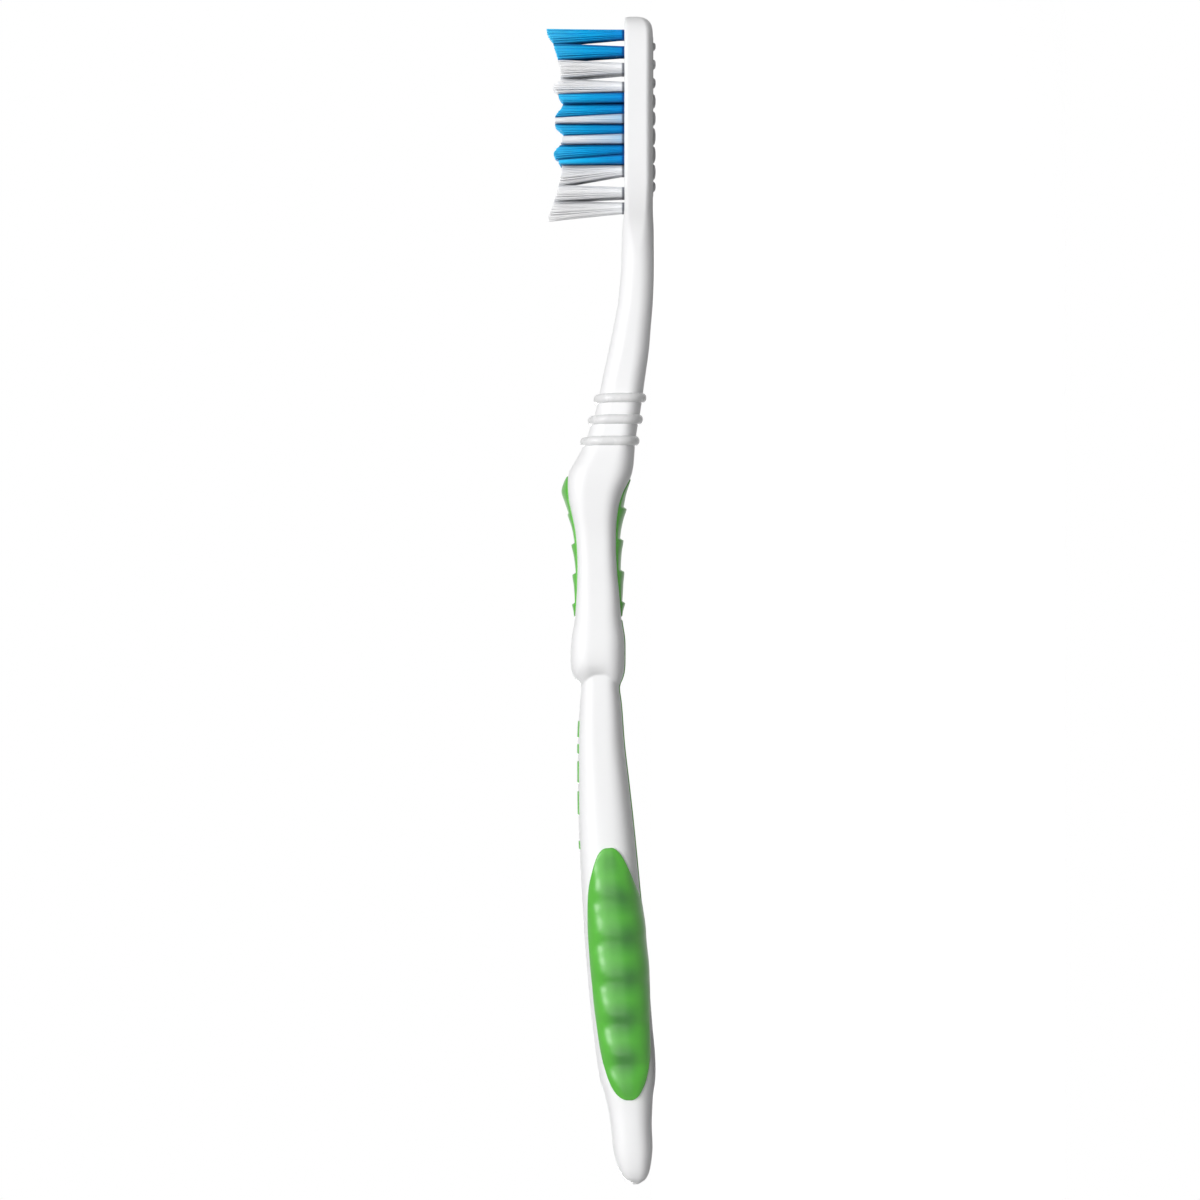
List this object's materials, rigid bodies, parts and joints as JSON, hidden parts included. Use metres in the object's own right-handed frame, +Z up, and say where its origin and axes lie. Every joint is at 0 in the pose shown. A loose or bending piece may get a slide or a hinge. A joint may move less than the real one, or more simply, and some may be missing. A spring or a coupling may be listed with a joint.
{
  "type": "manual toothbrush",
  "caption": "Manual toothbrush with a curved white handle, soft green grip pads, ringed neck, flared rows of blue and white tufts and a ribbed tongue cleaner on the back of the head.",
  "frame": {"origin": "on the table under the middle of the brush, which lies on its back", "axes": "+X along the brush towards the tip of the head, +Y to the left across it, +Z up towards the bristles"},
  "size_m": [0.19, 0.0156, 0.0178],
  "materials": {
    "white_body": "glossy moulded white plastic",
    "green_grip": "satin soft green elastomer",
    "neck_rings": "glossy pale grey",
    "tongue_cleaner": "soft translucent grey white elastomer",
    "blue_bristles": "translucent blue filaments",
    "white_bristles": "translucent white filaments",
    "anchors": "bright sheared metal"
  },
  "bodies": {
    "root": {"handle_core": "white_body", "tongue_cleaner": "tongue_cleaner", "thumb_pad": "green_grip", "finger_pad": "green_grip", "spine_strip": "green_grip", "palm_grip_left": "green_grip", "palm_grip_right": "green_grip", "front_marks": "green_grip", "tuft_anchors": "anchors", "neck_ring_1": "neck_rings", "neck_ring_2": "neck_rings", "neck_ring_3": "neck_rings", "tuft_r01_c1": "blue_bristles", "tuft_r01_c2": "blue_bristles", "tuft_r02_c1": "blue_bristles", "tuft_r02_c2": "blue_bristles", "tuft_r02_c3": "blue_bristles", "tuft_r03_c1": "white_bristles", "tuft_r03_c2": "white_bristles", "tuft_r03_c3": "white_bristles", "tuft_r03_c4": "white_bristles", "tuft_r04_c1": "white_bristles", "tuft_r04_c2": "white_bristles", "tuft_r04_c3": "white_bristles", "tuft_r05_c1": "blue_bristles", "tuft_r05_c2": "blue_bristles", "tuft_r05_c3": "blue_bristles", "tuft_r05_c4": "blue_bristles", "tuft_r06_c1": "blue_bristles", "tuft_r06_c2": "blue_bristles", "tuft_r06_c3": "blue_bristles", "tuft_r07_c1": "white_bristles", "tuft_r07_c2": "white_bristles", "tuft_r07_c3": "white_bristles", "tuft_r07_c4": "white_bristles", "tuft_r08_c1": "blue_bristles", "tuft_r08_c2": "blue_bristles", "tuft_r08_c3": "blue_bristles", "tuft_r09_c1": "white_bristles", "tuft_r09_c2": "white_bristles", "tuft_r09_c3": "white_bristles", "tuft_r09_c4": "white_bristles", "tuft_r10_c1": "blue_bristles", "tuft_r10_c2": "blue_bristles", "tuft_r10_c3": "blue_bristles", "tuft_r11_c1": "blue_bristles", "tuft_r11_c2": "blue_bristles", "tuft_r11_c3": "blue_bristles", "tuft_r11_c4": "blue_bristles", "tuft_r12_c1": "white_bristles", "tuft_r12_c2": "white_bristles", "tuft_r12_c3": "white_bristles", "tuft_r13_c1": "white_bristles", "tuft_r13_c2": "white_bristles", "tuft_r13_c3": "white_bristles", "tuft_r13_c4": "white_bristles", "tuft_r14_c1": "white_bristles", "tuft_r14_c2": "white_bristles", "tuft_r14_c3": "white_bristles"}
  },
  "joints": []
}
